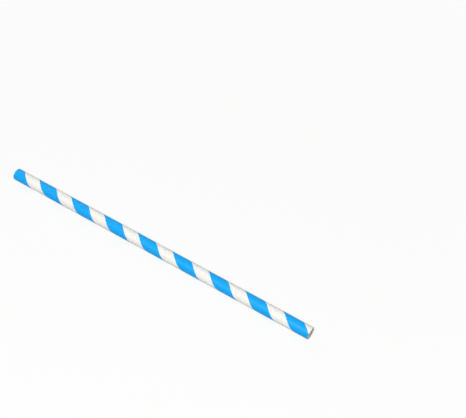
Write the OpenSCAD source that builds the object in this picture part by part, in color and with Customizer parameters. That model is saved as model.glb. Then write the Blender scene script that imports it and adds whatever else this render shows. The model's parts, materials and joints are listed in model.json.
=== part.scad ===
// Paper drinking straw: a tube wound from glued paper strips, lying along X on the plane Z = 0.
// The printed outer strip climbs a right-handed helix, so its coloured band and its seam share one pitch.

/* [Tube] */
// Length between the two square-cut ends
straw_length = 197; // [120:1:260]
// Diameter over the printed outer ply
outer_diameter = 7; // [5:0.1:12]
// Number of paper plies glued on one another
ply_count = 3; // [2:1:4]
// Thickness of one glued ply
ply_thickness = 0.14; // [0.08:0.01:0.2]
// Width of the slight flat along the lowest line, on which the straw lies still
rest_flat = 1.4; // [1:0.1:1.6]

/* [Winding] */
// Advance of the strip along the tube in one turn
winding_pitch = 23.4; // [18:0.1:40]
// Open gap between neighbouring edges of the outer strip, along the tube
seam_gap = 0.2; // [0.1:0.05:0.5]

/* [Print] */
// Width of the coloured band, along the tube
band_width = 12.5; // [6:0.5:15]
// Angle round the tube at which the coloured band starts on the left end
band_start_angle = 176; // [0:1:359]
// Depth to which the colour is shown in the paper
ink_depth = 0.04; // [0.02:0.01:0.06]

/* [Hidden] */
paper_white = "#FBFAF4";
ink_blue = "#0D94F4";
outer_radius = outer_diameter / 2;
bore_radius = outer_radius - ply_count * ply_thickness;
// Height of the tube's axis over the flat that it lies on
axis_height = sqrt(pow(outer_radius, 2) - pow(rest_flat / 2, 2));
// Place of the seam, in the middle of the white field between two turns of the band
seam_offset = (winding_pitch + band_width - seam_gap) / 2;
// Overrun of each cut past the ends and past the skin of the tube
overrun = 1;
steps_per_turn = 20;
tube_sides = 96;

// Position along the tube of a strip's left edge, at an angle counted on through the turns
function strip_edge(angle, offset) =
    offset - straw_length / 2 + winding_pitch * (angle - band_start_angle) / 360;

// Angle at which a strip's left edge reaches a position along the tube
function edge_angle(along, offset) =
    band_start_angle + 360 * (along + straw_length / 2 - offset) / winding_pitch;

// Four corners of a strip's section on the half plane at one angle
function strip_section(angle, offset, width, depth) = [
    for (corner = [[0, outer_radius - depth], [width, outer_radius - depth],
                   [width, outer_radius + overrun], [0, outer_radius + overrun]])
        [strip_edge(angle, offset) + corner[0], corner[1] * cos(angle), corner[1] * sin(angle)]
];

// A strip of the tube's skin that follows the winding from beyond one end to beyond the other
module wound_strip(offset, width, depth) {
    first = edge_angle(-straw_length / 2 - width - overrun, offset);
    last = edge_angle(straw_length / 2 + overrun, offset);
    steps = ceil((last - first) / 360 * steps_per_turn);
    sections = [
        for (i = [0 : steps])
            strip_section(first + (last - first) * i / steps, offset, width, depth)
    ];
    sides = [
        for (i = [0 : steps - 1], c = [0 : 3])
            let (a = 4 * i + c, b = 4 * i + (c + 1) % 4)
                each [[a, b + 4, b], [a, a + 4, b + 4]]
    ];
    caps = [[0, 1, 2, 3], [for (c = [3 : -1 : 0]) 4 * steps + c]];
    polyhedron(
        points = [for (section = sections) each section],
        faces = concat(sides, caps),
        convexity = 2 * ceil(steps / steps_per_turn)
    );
}

// Round wall of the tube about the X axis, open at both ends and slightly flat underneath
module tube_wall() {
    cut_length = straw_length + 2 * overrun;
    difference() {
        rotate([0, 90, 0])
            cylinder(h = straw_length, r = outer_radius, center = true, $fn = tube_sides);
        rotate([0, 90, 0])
            cylinder(h = cut_length, r = bore_radius, center = true, $fn = tube_sides);
        translate([0, 0, -axis_height - overrun / 2])
            cube([cut_length, outer_diameter, overrun], center = true);
    }
}

// White wound tube with the open seam of its outer ply, and the band printed on that ply
module paper_tube() {
    translate([0, 0, axis_height]) {
        color(paper_white)
            difference() {
                tube_wall();
                wound_strip(seam_offset, seam_gap, ply_thickness);
                wound_strip(0, band_width, ink_depth);
            }
        color(ink_blue)
            intersection() {
                tube_wall();
                wound_strip(0, band_width, ink_depth);
            }
    }
}

paper_tube();
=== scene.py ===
import json
import math

import bpy
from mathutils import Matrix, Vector


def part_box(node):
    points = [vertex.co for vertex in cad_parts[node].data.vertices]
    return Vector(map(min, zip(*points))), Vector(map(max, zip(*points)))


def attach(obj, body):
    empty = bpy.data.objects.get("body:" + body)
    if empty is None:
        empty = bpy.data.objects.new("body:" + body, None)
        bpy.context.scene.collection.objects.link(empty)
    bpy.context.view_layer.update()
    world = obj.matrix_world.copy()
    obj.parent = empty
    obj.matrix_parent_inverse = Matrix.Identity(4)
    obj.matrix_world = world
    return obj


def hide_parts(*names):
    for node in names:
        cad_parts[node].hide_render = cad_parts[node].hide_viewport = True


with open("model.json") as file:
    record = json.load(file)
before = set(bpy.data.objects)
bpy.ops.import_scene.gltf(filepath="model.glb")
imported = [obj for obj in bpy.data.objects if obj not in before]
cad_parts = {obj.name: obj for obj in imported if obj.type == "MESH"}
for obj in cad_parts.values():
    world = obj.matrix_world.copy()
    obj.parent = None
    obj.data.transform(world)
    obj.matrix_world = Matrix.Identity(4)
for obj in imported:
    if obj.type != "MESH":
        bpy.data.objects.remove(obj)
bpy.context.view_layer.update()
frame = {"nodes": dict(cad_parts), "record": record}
scene = bpy.context.scene
mm = 0.001
print("frame loaded:", ", ".join(frame["nodes"]))


# sRGB hex to the linear colour that the shaders take
def linear(hexColour):
    channels = [int(hexColour[i:i + 2], 16) / 255 for i in (1, 3, 5)]
    return (*(c / 12.92 if c <= 0.04045 else ((c + 0.055) / 1.055) ** 2.4 for c in channels), 1.0)


# adds a node; an input may be a value, a socket, another node (its first output) or a list of those
def addNode(tree, kind, inputs=None, **settings):
    made = tree.nodes.new(kind)
    for name, value in settings.items():
        setattr(made, name, value)
    for key, value in (inputs or {}).items():
        for item in value if isinstance(value, list) else [value]:
            if isinstance(item, bpy.types.Node):
                item = item.outputs[0]
            if isinstance(item, bpy.types.NodeSocket):
                tree.links.new(item, made.inputs[key])
            else:
                made.inputs[key].default_value = item
    return made


# a new material with an empty node tree
def newMaterial(name):
    material = bpy.data.materials.new(name)
    material.use_nodes = True
    material.node_tree.nodes.clear()
    return material, material.node_tree


# sizes of the tube in mm, from the two round walls that the record states
walls = {mount["name"]: mount["dims"] for mount in frame["record"]["mounts"]}
tubeLength = walls["bore"]["length_mm"]
outerRadius = walls["outer_wall"]["r_mm"]
wallThickness = outerRadius - walls["bore"]["r_mm"]
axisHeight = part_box("paper_tube")[1].z / mm - outerRadius  # from the top, because the lowest line is flat

straw = {
    "plies": 3,
    "pitch": 23.4,  # advance of the strip in one turn, mm
    "seamGap": 0.2,  # open gap between the edges of the outer strip, mm along the tube
    "bandWidth": 12.5,  # printed band, mm along the tube
    "bandStart": 176,  # angle of the band on the left end, degrees
    "edgeEase": 0.03,  # softened cut edges and glue lines on the ends, mm
    "printRows": 606,  # the strip turns by about one column from row to row
    "boreRows": 304,
    "columns": 76,
    "weld": 0.001,  # points of neighbouring sheets closer than this are joined, mm
    "creaseAngle": 30,  # bends over this stay sharp, degrees
}
ply = wallThickness / straw["plies"]
stripTurn = math.hypot(straw["pitch"], math.tau * outerRadius)  # strip that goes into one turn, mm
# the seam lies in the middle of the white field, so the band is centred half a turn from it
seamOffset = (straw["pitch"] + straw["bandWidth"] + straw["seamGap"]) / 2  # to its right-hand edge, mm
seamPhase = math.radians(straw["bandStart"]) + math.tau * (tubeLength / 2 - seamOffset) / straw["pitch"]
bandCentre = (straw["pitch"] + straw["seamGap"]) / 2


# object coordinates in mm, for grain that is the same all round
def inMm(tree):
    coords = addNode(tree, "ShaderNodeTexCoord")
    return addNode(tree, "ShaderNodeVectorMath", {
        0: coords.outputs["Object"], 1: (1 / mm, 1 / mm, 1 / mm)}, operation="MULTIPLY")


# fibres of a wound sheet: the noise is drawn out along the strip
def stripFibres(tree, winding, paint):
    stretch = (straw["pitch"] / paint["fibreWidth"], stripTurn / paint["fibreLength"], 1)
    onStrip = addNode(tree, "ShaderNodeVectorMath", {0: winding, 1: stretch}, operation="MULTIPLY")
    return addNode(tree, "ShaderNodeTexNoise", {
        "Vector": onStrip, "Scale": 1.0, "Detail": paint["fibreDetail"]}, noise_dimensions="2D")


# Printed straw paper: bleached sheet, calendered smooth and flexo printed.
# Satin, with a faint cloud and grain of fibres, ink that lies a little uneven,
# and soft dents over the inner seams.
printPaint = {
    "paper": "#FCFBF7",
    "paperCloud": "#F4F2EC",
    "ink": "#00A4FA",
    "inkThin": "#08B4FF",
    "cloudSize": 2.2,  # mm, look-through of the sheet
    "speckSize": 0.45,  # mm, mottle of the ink film
    "grainDetail": 4,  # octaves of the cloud and the mottle
    "fibreWidth": 0.14,  # mm, drawn coarser than real fibres so that they show
    "fibreLength": 1.1,  # mm
    "fibreDetail": 3,
    "filmRange": (0.3, 0.7),  # mottle over which the ink goes from full to thin
    "fleckRange": (0.6, 0.8),  # height of the fibres over which the ink begins to miss them
    "fleck": 0.08,  # how far the ink misses the proudest fibres
    "edgeWander": 0.06,  # mm, how far the ink edge strays
    "edgeSoft": 0.04,  # mm, bleed of the ink into the sheet
    "paperRoughness": 0.56,
    "inkRoughness": 0.46,
    "roughnessSpread": 0.16,  # from the lowest fibres to the proudest
    "gloss": 0.23,  # 0.5 is a plain varnish
    "fibreBump": 0.012,  # mm
    "seamDent": 0.02,  # mm
    "dentWidth": 0.5,  # mm, to each side of a seam
}


def printedPaper():
    paint = printPaint
    material, tree = newMaterial("printedStrawPaper")
    winding = addNode(tree, "ShaderNodeUVMap", uv_map="winding")
    turn = addNode(tree, "ShaderNodeSeparateXYZ", {0: winding})
    place = inMm(tree)
    cloud = addNode(tree, "ShaderNodeTexNoise", {
        "Vector": place, "Scale": 1 / paint["cloudSize"], "Detail": paint["grainDetail"]})
    speck = addNode(tree, "ShaderNodeTexNoise", {
        "Vector": place, "Scale": 1 / paint["speckSize"], "Detail": paint["grainDetail"]})
    fibre = stripFibres(tree, winding, paint)

    # distance from the band's middle line, with an edge that strays a little
    across = addNode(tree, "ShaderNodeMath", {
        0: turn, 1: straw["pitch"], 2: -bandCentre}, operation="MULTIPLY_ADD")
    fromMiddle = addNode(tree, "ShaderNodeMath", {0: across}, operation="ABSOLUTE")
    stray = addNode(tree, "ShaderNodeMath", {
        0: speck, 1: 2 * paint["edgeWander"], 2: -paint["edgeWander"]}, operation="MULTIPLY_ADD")
    inkEdge = addNode(tree, "ShaderNodeMath", {0: fromMiddle, 1: stray}, operation="ADD")
    halfBand = straw["bandWidth"] / 2
    inked = addNode(tree, "ShaderNodeMapRange", {
        "Value": inkEdge,
        "From Min": halfBand + paint["edgeSoft"], "From Max": halfBand - paint["edgeSoft"],
    }, interpolation_type="SMOOTHSTEP")

    paper = addNode(tree, "ShaderNodeMixRGB", {
        0: cloud, 1: linear(paint["paper"]), 2: linear(paint["paperCloud"])})
    fullFilm, thinFilm = paint["filmRange"]
    film = addNode(tree, "ShaderNodeMapRange", {"Value": speck, "From Min": fullFilm, "From Max": thinFilm})
    ink = addNode(tree, "ShaderNodeMixRGB", {0: film, 1: linear(paint["ink"]), 2: linear(paint["inkThin"])})
    fleckStart, fleckFull = paint["fleckRange"]
    missed = addNode(tree, "ShaderNodeMapRange", {
        "Value": fibre, "From Min": fleckStart, "From Max": fleckFull, "To Max": paint["fleck"]})
    inkedPaper = addNode(tree, "ShaderNodeMixRGB", {0: missed, 1: ink, 2: paper})
    colour = addNode(tree, "ShaderNodeMixRGB", {0: inked, 1: paper, 2: inkedPaper})

    roughness = addNode(tree, "ShaderNodeMapRange", {
        "Value": inked, "To Min": paint["paperRoughness"], "To Max": paint["inkRoughness"]})
    uneven = addNode(tree, "ShaderNodeMath", {
        0: fibre, 1: paint["roughnessSpread"], 2: -paint["roughnessSpread"] / 2}, operation="MULTIPLY_ADD")
    roughUneven = addNode(tree, "ShaderNodeMath", {0: roughness, 1: uneven}, operation="ADD")

    # the seams of the plies lie evenly round the turn, and the skin sinks a little over each
    toSeam = addNode(tree, "ShaderNodeMath", {0: turn, 1: 0.5 / straw["plies"]}, operation="PINGPONG")
    level = addNode(tree, "ShaderNodeMapRange", {
        "Value": toSeam, "From Max": paint["dentWidth"] / straw["pitch"], "To Max": paint["seamDent"],
    }, interpolation_type="SMOOTHSTEP")
    height = addNode(tree, "ShaderNodeMath", {
        0: fibre, 1: paint["fibreBump"], 2: level}, operation="MULTIPLY_ADD")
    bump = addNode(tree, "ShaderNodeBump", {"Strength": 1.0, "Distance": mm, "Height": height})
    skin = addNode(tree, "ShaderNodeBsdfPrincipled", {
        "Base Color": colour, "Roughness": roughUneven,
        "Specular IOR Level": paint["gloss"], "Normal": bump})
    addNode(tree, "ShaderNodeOutputMaterial", {"Surface": skin})
    return material


# Bare straw paper of the inner ply: bleached and unprinted.
# A soft dry surface with a faint cloud and grain of fibres, and the thin shadow line of its own seam.
borePaint = {
    "paper": "#F8F5EC",
    "paperCloud": "#EDE9DE",
    "seamShade": "#BDB7A8",
    "cloudSize": 1.8,  # mm
    "grainDetail": 4,
    "fibreWidth": 0.16,  # mm, coarser than real so that they show
    "fibreLength": 1.1,  # mm
    "fibreDetail": 3,
    "seamTurn": 2 / 3,  # place of the inner seam, in turns from the outer one
    "seamWidth": 0.2,  # mm
    "roughness": 0.7,
    "gloss": 0.2,
    "fibreBump": 0.014,  # mm
}


def borePaper():
    paint = borePaint
    material, tree = newMaterial("bareStrawPaper")
    winding = addNode(tree, "ShaderNodeUVMap", uv_map="winding")
    turn = addNode(tree, "ShaderNodeSeparateXYZ", {0: winding})
    cloud = addNode(tree, "ShaderNodeTexNoise", {
        "Vector": inMm(tree), "Scale": 1 / paint["cloudSize"], "Detail": paint["grainDetail"]})
    fibre = stripFibres(tree, winding, paint)
    paper = addNode(tree, "ShaderNodeMixRGB", {
        0: cloud, 1: linear(paint["paper"]), 2: linear(paint["paperCloud"])})
    onSeam = addNode(tree, "ShaderNodeMath", {
        0: turn, 1: paint["seamTurn"], 2: paint["seamWidth"] / 2 / straw["pitch"]}, operation="COMPARE")
    colour = addNode(tree, "ShaderNodeMixRGB", {0: onSeam, 1: paper, 2: linear(paint["seamShade"])})
    bump = addNode(tree, "ShaderNodeBump", {
        "Strength": 1.0, "Distance": paint["fibreBump"] * mm, "Height": fibre})
    skin = addNode(tree, "ShaderNodeBsdfPrincipled", {
        "Base Color": colour, "Roughness": paint["roughness"],
        "Specular IOR Level": paint["gloss"], "Normal": bump})
    addNode(tree, "ShaderNodeOutputMaterial", {"Surface": skin})
    return material


# Knife-cut paper edge: the plies show their raw felt.
# Rougher and a touch darker than the skin, with thin glue lines between the plies.
cutPaint = {
    "felt": "#F7F4EB",
    "feltDark": "#E4E0D4",
    "glue": "#C6C0B1",
    "fibreSize": 0.09,  # mm
    "fibreDetail": 2,
    "glueWidth": 0.03,  # mm
    "roughness": 0.85,
    "gloss": 0.15,
    "fibreBump": 0.015,  # mm
}


def cutPaper():
    paint = cutPaint
    material, tree = newMaterial("knifeCutPaperEdge")
    place = inMm(tree)
    fibre = addNode(tree, "ShaderNodeTexNoise", {
        "Vector": place, "Scale": 1 / paint["fibreSize"], "Detail": paint["fibreDetail"]})
    felt = addNode(tree, "ShaderNodeMixRGB", {
        0: fibre, 1: linear(paint["felt"]), 2: linear(paint["feltDark"])})
    # depth below the skin counted in plies, folded so that it is nought at each glue line
    fromAxis = addNode(tree, "ShaderNodeVectorMath", {0: place, 1: (0, 0, -axisHeight)}, operation="ADD")
    onEnd = addNode(tree, "ShaderNodeVectorMath", {0: fromAxis, 1: (0, 1, 1)}, operation="MULTIPLY")
    radius = addNode(tree, "ShaderNodeVectorMath", {0: onEnd}, operation="LENGTH")
    plies = addNode(tree, "ShaderNodeMath", {
        0: radius.outputs["Value"], 1: -1 / ply, 2: outerRadius / ply}, operation="MULTIPLY_ADD")
    toLine = addNode(tree, "ShaderNodeMath", {0: plies, 1: 0.5}, operation="PINGPONG")
    glued = addNode(tree, "ShaderNodeMapRange", {
        "Value": toLine, "From Min": paint["glueWidth"] / ply, "From Max": 0.0})
    colour = addNode(tree, "ShaderNodeMixRGB", {0: glued, 1: felt, 2: linear(paint["glue"])})
    bump = addNode(tree, "ShaderNodeBump", {
        "Strength": 1.0, "Distance": paint["fibreBump"] * mm, "Height": fibre})
    skin = addNode(tree, "ShaderNodeBsdfPrincipled", {
        "Base Color": colour, "Roughness": paint["roughness"],
        "Specular IOR Level": paint["gloss"], "Normal": bump})
    addNode(tree, "ShaderNodeOutputMaterial", {"Surface": skin})
    return material


def treeInputs(tree, wanted):
    tree.interface.new_socket("Mesh", in_out="OUTPUT", socket_type="NodeSocketGeometry")
    for name, kind in wanted.items():
        tree.interface.new_socket(name, in_out="INPUT", socket_type="NodeSocket" + kind)
    return addNode(tree, "NodeGroupInput").outputs


seamColumns = 4  # edge, floor, floor and edge of the seam are the first columns of a sheet
floorMiddle = 1.5  # between the two columns of the floor
floorReach = 1.0  # columns to each side, short of the edges
firstWall = 0.5  # the seam's walls lie between columns 0 and 1
secondWall = 2.5  # and between columns 2 and 3


# One sheet of the wall: its rows run from one corner of the wall's section to the next,
# its columns run round the tube, and every column climbs with the winding.
def sheetTree():
    tree = bpy.data.node_groups.new("woundSheet", "GeometryNodeTree")
    given = treeInputs(tree, {
        "From X": "Float", "To X": "Float", "From Radius": "Float", "To Radius": "Float",
        "Rows": "Int", "Columns": "Int", "Region": "Int", "Pitch": "Float", "Phase": "Float",
        "Seam Gap": "Float", "Seam Floor": "Float", "Seam End": "Float", "Axis Height": "Float",
        "Wall Share": "Float", "Patch Left": "Float", "Patch Width": "Float",
        "Patch Low": "Float", "Patch Height": "Float"})
    grid = addNode(tree, "GeometryNodeMeshGrid", {
        "Size X": 1.0, "Size Y": 1.0, "Vertices X": given["Rows"], "Vertices Y": given["Columns"]})
    place = addNode(tree, "ShaderNodeSeparateXYZ", {0: addNode(tree, "GeometryNodeInputPosition")})
    along = addNode(tree, "ShaderNodeMath", {0: place, 1: 0.5}, operation="ADD")  # 0 to 1 over the rows
    straightX = addNode(tree, "ShaderNodeMapRange", {
        "Value": along, "To Min": given["From X"], "To Max": given["To X"]})
    radius = addNode(tree, "ShaderNodeMapRange", {
        "Value": along, "To Min": given["From Radius"], "To Max": given["To Radius"]})
    index = addNode(tree, "GeometryNodeInputIndex")
    column = addNode(tree, "ShaderNodeMath", {0: index, 1: given["Columns"]}, operation="MODULO")

    # the seam's floor is no higher than the ply below, and ends where that ply's own edge begins
    onFloor = addNode(tree, "ShaderNodeMath", {
        0: column, 1: floorMiddle, 2: floorReach}, operation="COMPARE")
    above = addNode(tree, "ShaderNodeMath", {0: radius, 1: given["Seam Floor"]}, operation="GREATER_THAN")
    inSeam = addNode(tree, "ShaderNodeMath", {0: onFloor, 1: above}, operation="MULTIPLY")
    reach = addNode(tree, "ShaderNodeMix", {"Factor": inSeam, "A": radius, "B": given["Seam Floor"]})
    leftEnd = addNode(tree, "ShaderNodeMath", {0: given["Seam End"], 1: -1.0}, operation="MULTIPLY")
    kept = addNode(tree, "ShaderNodeClamp", {"Value": straightX, "Min": leftEnd, "Max": given["Seam End"]})
    x = addNode(tree, "ShaderNodeMix", {"Factor": inSeam, "A": straightX, "B": kept})

    # share of a turn from the seam, for each column
    gapTurn = addNode(tree, "ShaderNodeMath", {0: given["Seam Gap"], 1: given["Pitch"]}, operation="DIVIDE")
    pastGap = addNode(tree, "ShaderNodeMath", {0: column, 1: floorMiddle}, operation="GREATER_THAN")
    gapShare = addNode(tree, "ShaderNodeMath", {0: pastGap, 1: gapTurn}, operation="MULTIPLY")
    fromEdge = addNode(tree, "ShaderNodeMath", {0: column, 1: seamColumns - 1}, operation="SUBTRACT")
    counted = addNode(tree, "ShaderNodeMath", {0: fromEdge, 1: 0.0}, operation="MAXIMUM")
    spaces = addNode(tree, "ShaderNodeMath", {0: given["Columns"], 1: seamColumns}, operation="SUBTRACT")
    share = addNode(tree, "ShaderNodeMath", {0: counted, 1: spaces}, operation="DIVIDE")
    stripShare = addNode(tree, "ShaderNodeMath", {0: 1.0, 1: gapTurn}, operation="SUBTRACT")
    turn = addNode(tree, "ShaderNodeMath", {0: share, 1: stripShare, 2: gapShare}, operation="MULTIPLY_ADD")

    # the winding turns each column once in a pitch, and the lowest line rests flat
    climb = addNode(tree, "ShaderNodeMath", {0: x, 1: given["Pitch"]}, operation="DIVIDE")
    turns = addNode(tree, "ShaderNodeMath", {0: climb, 1: turn}, operation="ADD")
    angle = addNode(tree, "ShaderNodeMath", {
        0: turns, 1: math.tau, 2: given["Phase"]}, operation="MULTIPLY_ADD")
    cosine = addNode(tree, "ShaderNodeMath", {0: angle}, operation="COSINE")
    sine = addNode(tree, "ShaderNodeMath", {0: angle}, operation="SINE")
    y = addNode(tree, "ShaderNodeMath", {0: reach, 1: cosine}, operation="MULTIPLY")
    height = addNode(tree, "ShaderNodeMath", {
        0: reach, 1: sine, 2: given["Axis Height"]}, operation="MULTIPLY_ADD")
    z = addNode(tree, "ShaderNodeMath", {0: height, 1: 0.0}, operation="MAXIMUM")
    point = addNode(tree, "ShaderNodeCombineXYZ", {0: x, 1: y, 2: z})

    # the winding's own map is read at the points and stored at the corners,
    # so that it keeps its jump at the seam
    strip = addNode(tree, "ShaderNodeCombineXYZ", {0: turn, 1: climb})
    stripMap = addNode(tree, "GeometryNodeFieldOnDomain", {0: strip},
                       data_type="FLOAT_VECTOR", domain="POINT")
    mapped = addNode(tree, "GeometryNodeStoreNamedAttribute", {
        "Geometry": grid, "Name": "winding", "Value": stripMap}, data_type="FLOAT2", domain="CORNER")

    # This map is for baking. It has a patch for each sheet, laid along the winding
    # so that the band's edges run straight in it, with room for the seam's walls.
    pastFirst = addNode(tree, "ShaderNodeMath", {0: column, 1: firstWall}, operation="GREATER_THAN")
    pastSecond = addNode(tree, "ShaderNodeMath", {0: column, 1: secondWall}, operation="GREATER_THAN")
    wallsPassed = addNode(tree, "ShaderNodeMath", {0: pastFirst, 1: pastSecond}, operation="ADD")
    across = addNode(tree, "ShaderNodeMath", {
        0: wallsPassed, 1: given["Wall Share"], 2: turn}, operation="MULTIPLY_ADD")
    patchX = addNode(tree, "ShaderNodeMath", {
        0: across, 1: given["Patch Width"], 2: given["Patch Left"]}, operation="MULTIPLY_ADD")
    patchY = addNode(tree, "ShaderNodeMath", {
        0: along, 1: given["Patch Height"], 2: given["Patch Low"]}, operation="MULTIPLY_ADD")
    patch = addNode(tree, "ShaderNodeCombineXYZ", {0: patchX, 1: patchY})
    patchMap = addNode(tree, "GeometryNodeFieldOnDomain", {0: patch},
                       data_type="FLOAT_VECTOR", domain="POINT")
    patched = addNode(tree, "GeometryNodeStoreNamedAttribute", {
        "Geometry": mapped, "Name": "OFBake", "Value": patchMap}, data_type="FLOAT2", domain="CORNER")
    marked = addNode(tree, "GeometryNodeStoreNamedAttribute", {
        "Geometry": patched, "Name": "region", "Value": given["Region"]}, data_type="INT", domain="FACE")
    placed = addNode(tree, "GeometryNodeSetPosition", {"Geometry": marked, "Position": point})
    addNode(tree, "NodeGroupOutput", {0: placed})
    return tree


papers = ("Printed Paper", "Bore Paper", "Cut Paper")  # a face's region is the place of its paper here
endRows = 2  # one strip of faces
regionMargin = 0.1  # regions are whole numbers

# patches in the bake's map, as shares of its width and height; each sheet of the ends has one in a stack
bakePatches = {
    "Printed Paper": {"left": 0.005, "width": 0.56, "low": 0.1, "height": 0.895},
    "Bore Paper": {"left": 0.595, "width": 0.39, "low": 0.1, "height": 0.895},
    "Cut Paper": {"left": 0.005, "width": 0.97, "low": 0.005, "height": 0.0045},
}


# The whole tube: the sheets follow the wall's section once round, then close into one skin.
def strawTree():
    sheet = sheetTree()
    tree = bpy.data.node_groups.new("woundStraw", "GeometryNodeTree")
    given = treeInputs(tree, {
        "Length": "Float", "Outer Radius": "Float", "Ply": "Float", "Pitch": "Float", "Phase": "Float",
        "Seam Gap": "Float", "Edge Ease": "Float", "Axis Height": "Float",
        "Weld": "Float", "Crease Angle": "Float",
        "Print Rows": "Int", "Bore Rows": "Int", "Columns": "Int",
        **{paper: "Material" for paper in papers}})
    half = {side: addNode(tree, "ShaderNodeMath", {0: given["Length"], 1: side / 2}, operation="MULTIPLY")
            for side in (-1, 1)}
    seamFloor = addNode(tree, "ShaderNodeMath", {
        0: given["Outer Radius"], 1: given["Ply"]}, operation="SUBTRACT")
    seamEnd = addNode(tree, "ShaderNodeMath", {0: half[1], 1: given["Edge Ease"]}, operation="SUBTRACT")
    wallShare = addNode(tree, "ShaderNodeMath", {0: given["Ply"], 1: given["Pitch"]}, operation="DIVIDE")

    # corners of an end from skin to bore: eases back from the cut, plies down, eases down
    endPath = [step for down in range(straw["plies"])
               for step in ((1, down, 0), (0, down, 1), (0, down + 1, -1))]
    endPath.append((1, straw["plies"], 0))
    corners = [(-1, *step) for step in endPath] + [(1, *step) for step in reversed(endPath)]
    points = []
    for side, back, plies, eases in corners:
        x = addNode(tree, "ShaderNodeMath", {
            0: given["Edge Ease"], 1: -back * side, 2: half[side]}, operation="MULTIPLY_ADD")
        eased = addNode(tree, "ShaderNodeMath", {
            0: given["Edge Ease"], 1: -eases, 2: given["Outer Radius"]}, operation="MULTIPLY_ADD")
        radius = addNode(tree, "ShaderNodeMath", {
            0: given["Ply"], 1: -plies, 2: eased}, operation="MULTIPLY_ADD")
        points.append((x, radius))

    sheets = []
    for i, (start, stop) in enumerate(zip(corners, corners[1:] + corners[:1])):
        onWall = start[0] != stop[0]
        onSkin = onWall and start[2] == 0
        rows = given["Print Rows"] if onSkin else given["Bore Rows"] if onWall else endRows
        paper = "Printed Paper" if onSkin else "Bore Paper" if onWall else "Cut Paper"
        patch = bakePatches[paper]
        patchLow = patch["low"] + (0 if onWall else i * patch["height"])
        (fromX, fromRadius), (toX, toRadius) = points[i], points[(i + 1) % len(points)]
        sheets.append(addNode(tree, "GeometryNodeGroup", {
            "From X": fromX, "To X": toX, "From Radius": fromRadius, "To Radius": toRadius,
            "Rows": rows, "Region": papers.index(paper), "Seam Floor": seamFloor, "Seam End": seamEnd,
            "Wall Share": wallShare, "Patch Left": patch["left"], "Patch Width": patch["width"],
            "Patch Low": patchLow, "Patch Height": patch["height"],
            **{same: given[same] for same in ("Columns", "Pitch", "Phase", "Seam Gap", "Axis Height")},
        }, node_tree=sheet))

    joined = addNode(tree, "GeometryNodeJoinGeometry", {0: sheets})
    closed = addNode(tree, "GeometryNodeMergeByDistance", {"Geometry": joined, "Distance": given["Weld"]})
    bend = addNode(tree, "GeometryNodeInputMeshEdgeAngle")
    crease = addNode(tree, "ShaderNodeMath", {0: bend, 1: given["Crease Angle"]}, operation="GREATER_THAN")
    smooth = addNode(tree, "GeometryNodeSetShadeSmooth", {"Geometry": closed, "Shade Smooth": True})
    sharp = addNode(tree, "GeometryNodeSetShadeSmooth", {
        "Geometry": smooth, "Selection": crease, "Shade Smooth": False}, domain="EDGE")
    dressed = addNode(tree, "GeometryNodeRealizeInstances", {"Geometry": sharp})
    region = addNode(tree, "GeometryNodeInputNamedAttribute", {"Name": "region"}, data_type="INT")
    for number, paper in enumerate(papers):
        here = addNode(tree, "ShaderNodeMath", {
            0: region, 1: float(number), 2: regionMargin}, operation="COMPARE")
        dressed = addNode(tree, "GeometryNodeSetMaterial", {
            "Geometry": dressed, "Selection": here, "Material": given[paper]})
    addNode(tree, "NodeGroupOutput", {0: dressed})
    return tree


def buildStraw():
    tree = strawTree()
    values = {
        "Length": tubeLength * mm, "Outer Radius": outerRadius * mm, "Ply": ply * mm,
        "Pitch": straw["pitch"] * mm, "Phase": seamPhase, "Seam Gap": straw["seamGap"] * mm,
        "Edge Ease": straw["edgeEase"] * mm, "Axis Height": axisHeight * mm,
        "Weld": straw["weld"] * mm, "Crease Angle": math.radians(straw["creaseAngle"]),
        "Print Rows": straw["printRows"], "Bore Rows": straw["boreRows"], "Columns": straw["columns"],
        "Printed Paper": printedPaper(), "Bore Paper": borePaper(), "Cut Paper": cutPaper()}
    maker = bpy.data.objects.new("strawMaker", bpy.data.meshes.new("strawMaker"))
    scene.collection.objects.link(maker)
    winder = maker.modifiers.new("woundStraw", "NODES")
    winder.node_group = tree
    for item in tree.interface.items_tree:
        if item.in_out == "INPUT":
            winder[item.identifier] = values[item.name]
    graph = bpy.context.evaluated_depsgraph_get()
    mesh = bpy.data.meshes.new_from_object(maker.evaluated_get(graph))
    mesh.name = "paperStraw"
    mesh.materials.pop(index=0)  # the empty slot that the grids came with
    bpy.data.objects.remove(maker)
    piece = bpy.data.objects.new("paperStraw", mesh)
    scene.collection.objects.link(piece)
    return piece


paperStraw = buildStraw()
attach(paperStraw, "root")
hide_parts("paper_tube")
print("straw wound:", len(paperStraw.data.polygons), "faces")


studio = {
    "floorColour": "#F6F6F4",
    "bounceColour": "#A8A8A6",  # what the floor gives back to the straw, darker than it looks
    "floorSize": 12.0,  # m
    "whiteShare": 0.8,  # how far the floor is lifted to white for the eye, the rest keeps the shadow
    "shadowReach": 0.12,  # m from the middle of the straw, from where the floor fades to plain white
    "fadeReach": 0.45,  # m
    "skyColour": "#FFFFFF",
    "skyStrength": 0.17,
    # soft boxes: the key stands square to the straw, weaker ones light its right-hand end and its back
    "lamps": {
        "key": {"place": (0.06, -0.62, 1.14), "size": 0.42, "power": 12.3},  # m and W
        "fill": {"place": (0.95, -0.1, 0.4), "size": 0.5, "power": 3.0},
        "back": {"place": (-0.8, 0.55, 0.5), "size": 0.5, "power": 1.8},
    },
}


# seen rays are those that meet the eye straight, in a reflection or through something clear
def seenRays(tree):
    path = addNode(tree, "ShaderNodeLightPath")
    direct = addNode(tree, "ShaderNodeMath", {
        0: path.outputs["Is Camera Ray"], 1: path.outputs["Is Glossy Ray"]}, operation="MAXIMUM")
    return addNode(tree, "ShaderNodeMath", {
        0: direct, 1: path.outputs["Is Transmission Ray"]}, operation="MAXIMUM")


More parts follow.
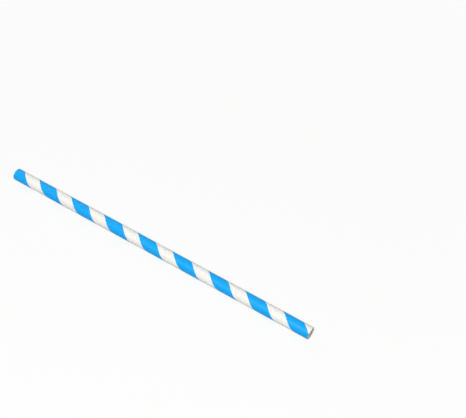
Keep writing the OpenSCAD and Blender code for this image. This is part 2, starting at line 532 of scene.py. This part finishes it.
# matte floor that looks nearly white and keeps the straw's shadow
def paleFloor():
    material, tree = newMaterial("paleFloor")
    seen = seenRays(tree)
    colour = addNode(tree, "ShaderNodeMixRGB", {
        0: seen, 1: linear(studio["bounceColour"]), 2: linear(studio["floorColour"])})
    matte = addNode(tree, "ShaderNodeBsdfDiffuse", {"Color": colour})
    white = addNode(tree, "ShaderNodeEmission", {"Strength": 1.0})
    coords = addNode(tree, "ShaderNodeTexCoord")
    away = addNode(tree, "ShaderNodeVectorMath", {0: coords.outputs["Object"]}, operation="LENGTH")
    lift = addNode(tree, "ShaderNodeMapRange", {
        "Value": away.outputs["Value"], "From Min": studio["shadowReach"], "From Max": studio["fadeReach"],
        "To Min": studio["whiteShare"]}, interpolation_type="SMOOTHSTEP")
    share = addNode(tree, "ShaderNodeMath", {0: seen, 1: lift}, operation="MULTIPLY")
    lifted = addNode(tree, "ShaderNodeMixShader", {0: share, 1: matte, 2: white})
    addNode(tree, "ShaderNodeOutputMaterial", {"Surface": lifted})
    return material


def buildStudio():
    floorMesh = bpy.data.meshes.new("floor")
    reach = studio["floorSize"] / 2
    floorMesh.from_pydata([(-reach, -reach, 0), (reach, -reach, 0), (reach, reach, 0), (-reach, reach, 0)],
                          [], [(0, 1, 2, 3)])
    floorMesh.materials.append(paleFloor())
    floor = bpy.data.objects.new("floor", floorMesh)
    scene.collection.objects.link(floor)

    world = bpy.data.worlds.new("softSky")
    scene.world = world
    world.use_nodes = True
    world.node_tree.nodes.clear()
    strength = addNode(world.node_tree, "ShaderNodeMapRange", {
        "Value": seenRays(world.node_tree), "To Min": studio["skyStrength"], "To Max": 1.0})
    sky = addNode(world.node_tree, "ShaderNodeBackground", {
        "Color": linear(studio["skyColour"]), "Strength": strength})
    addNode(world.node_tree, "ShaderNodeOutputWorld", {"Surface": sky})

    for name, box in studio["lamps"].items():
        lamp = bpy.data.lights.new(name, "AREA")
        lamp.size = box["size"]
        lamp.energy = box["power"]
        stand = bpy.data.objects.new(name, lamp)
        stand.location = box["place"]
        stand.rotation_euler = (-Vector(box["place"])).to_track_quat("-Z", "Y").to_euler()
        scene.collection.objects.link(stand)


buildStudio()
print("studio lit")


view = {
    "azimuth": 32.6,  # degrees, turned from looking along +Y towards the right-hand end
    "elevation": 52.7,
    "distance": 0.5338,  # m, to the spot on the floor at the middle of the picture
    "aim": (0.0199, 0.0485, 0.0),  # m
    "lens": 72.1,  # mm
    "sensor": 36,  # mm
}


def buildCamera():
    turn = math.radians(view["azimuth"])
    rise = math.radians(view["elevation"])
    back = Vector((math.sin(turn) * math.cos(rise), -math.cos(turn) * math.cos(rise), math.sin(rise)))
    lens = bpy.data.cameras.new("camera")
    lens.lens = view["lens"]
    lens.sensor_width = view["sensor"]
    camera = bpy.data.objects.new("camera", lens)
    camera.location = Vector(view["aim"]) + back * view["distance"]
    camera.rotation_euler = (math.pi / 2 - rise, 0, turn)
    scene.collection.objects.link(camera)
    scene.camera = camera


buildCamera()
scene.view_settings.view_transform = "Standard"
print("camera set")
